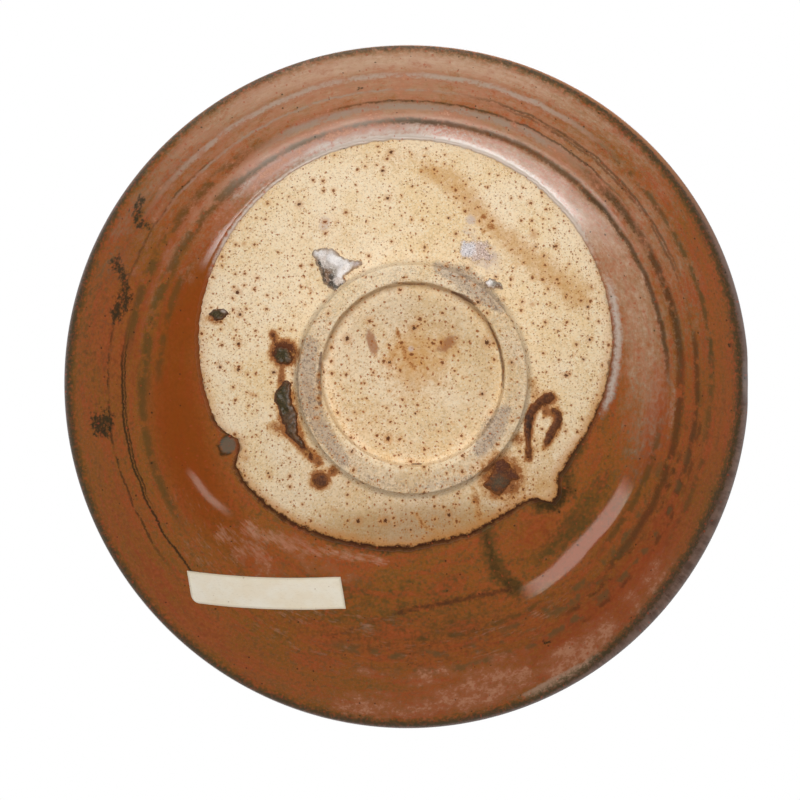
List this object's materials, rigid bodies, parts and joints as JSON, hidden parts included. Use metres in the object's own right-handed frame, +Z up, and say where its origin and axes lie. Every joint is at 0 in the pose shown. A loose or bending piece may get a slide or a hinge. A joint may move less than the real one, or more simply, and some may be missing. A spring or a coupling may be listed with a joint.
{
  "type": "shallow bowl",
  "caption": "Shallow wheel-thrown stoneware bowl with an iron-red glaze, bare clay round a turned foot ring, fused glaze drops and a blank paper label; holds food or fruit.",
  "frame": {"origin": "centre of the foot ring, on the plane that the bowl stands on", "axes": "+Z up along the bowl's axis, with the bowl open upwards; +X and +Y are level, and the paper label lies between -X and +Y"},
  "size_m": [0.3, 0.3, 0.078],
  "materials": {
    "clay": "bare speckled stoneware, matt",
    "glaze": "glossy iron-red glaze with dark throwing rings",
    "ash_glass": "pale grey glassy drops",
    "iron_glass": "dark brown glassy drops",
    "paper": "aged cream paper, blank"
  },
  "bodies": {
    "root": {"stoneware_body": "clay", "outer_glaze": "glaze", "inner_glaze": "glaze", "tri_lobed_drop": "ash_glass", "lens_drop": "ash_glass", "crust_patch": "ash_glass", "upper_left_drop": "iron_glass", "left_run": "iron_glass", "round_spot": "iron_glass", "diamond_drop": "iron_glass", "right_run": "iron_glass", "outer_right_run": "iron_glass", "left_chip": "iron_glass", "paper_label": "paper"}
  },
  "joints": []
}
